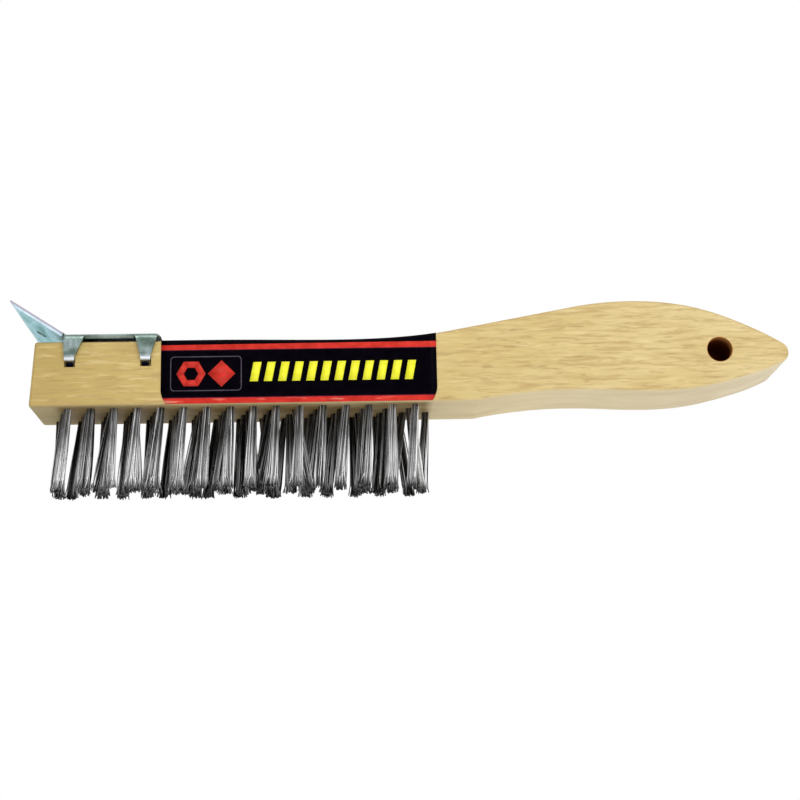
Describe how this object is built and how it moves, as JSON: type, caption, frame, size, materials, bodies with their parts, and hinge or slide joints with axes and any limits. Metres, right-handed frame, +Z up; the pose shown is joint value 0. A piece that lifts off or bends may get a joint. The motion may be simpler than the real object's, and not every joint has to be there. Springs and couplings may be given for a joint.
{
  "type": "wire scratch brush",
  "caption": "Shoe-handle wire scratch brush with a wooden block, staple-set steel wire tufts, a clawed sheet-metal scraper on the nose and a hang hole.",
  "frame": {"origin": "on the plane of the bristle tips, under the middle of the bounding box", "axes": "+X from the nose towards the handle's tip, +Y across the block along the hang hole, +Z up from the bristle tips to the block"},
  "size_m": [0.2668, 0.0508, 0.0635],
  "materials": {
    "wood": "sanded, unvarnished",
    "zinc_sheet": "bright zinc plate with a blue-green cast",
    "label_print": "glossy printed film, black with red borders",
    "bristle_wire": "drawn carbon steel wire, oiled",
    "anchor_wire": "flat rolled steel wire"
  },
  "bodies": {
    "root": {"handle_block": "wood", "label": "label_print", "scraper": "zinc_sheet", "tuft_column_01": "bristle_wire", "tuft_column_02": "bristle_wire", "tuft_column_03": "bristle_wire", "tuft_column_04": "bristle_wire", "tuft_column_05": "bristle_wire", "tuft_column_06": "bristle_wire", "tuft_column_07": "bristle_wire", "tuft_column_08": "bristle_wire", "tuft_column_09": "bristle_wire", "tuft_column_10": "bristle_wire", "tuft_column_11": "bristle_wire", "tuft_column_12": "bristle_wire", "tuft_column_13": "bristle_wire", "tuft_column_14": "bristle_wire", "tuft_column_15": "bristle_wire", "tuft_column_16": "bristle_wire", "anchor_column_01": "anchor_wire", "anchor_column_02": "anchor_wire", "anchor_column_03": "anchor_wire", "anchor_column_04": "anchor_wire", "anchor_column_05": "anchor_wire", "anchor_column_06": "anchor_wire", "anchor_column_07": "anchor_wire", "anchor_column_08": "anchor_wire", "anchor_column_09": "anchor_wire", "anchor_column_10": "anchor_wire", "anchor_column_11": "anchor_wire", "anchor_column_12": "anchor_wire", "anchor_column_13": "anchor_wire", "anchor_column_14": "anchor_wire", "anchor_column_15": "anchor_wire", "anchor_column_16": "anchor_wire"}
  },
  "joints": []
}
